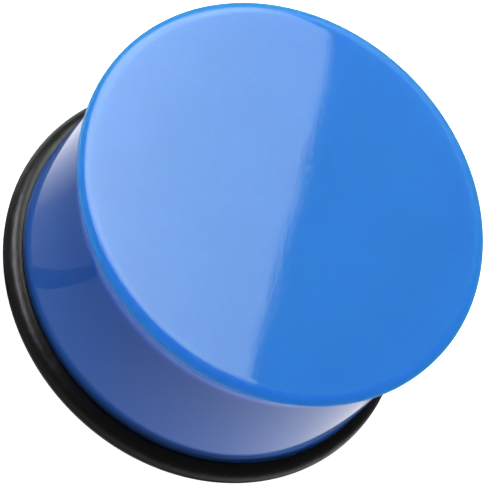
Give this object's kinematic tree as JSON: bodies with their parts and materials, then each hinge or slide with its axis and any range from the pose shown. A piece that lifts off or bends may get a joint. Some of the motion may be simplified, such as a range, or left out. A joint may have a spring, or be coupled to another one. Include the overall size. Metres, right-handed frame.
{
  "type": "ear plug gauge",
  "caption": "Solid ear plug gauge with a flared flat face, a straight round barrel and a rubber retaining ring in a groove near the rear end.",
  "frame": {"origin": "centre of the flat rear face, on the plug's axis", "axes": "+Z along the plug's axis, from the rear face to the flared front face; X and Y are any two directions across it"},
  "size_m": [0.0273, 0.0272, 0.0151],
  "materials": {
    "acrylic": "polished",
    "rubber": "satin"
  },
  "bodies": {
    "root": {"plug_body": "acrylic", "o_ring": "rubber"}
  },
  "joints": []
}
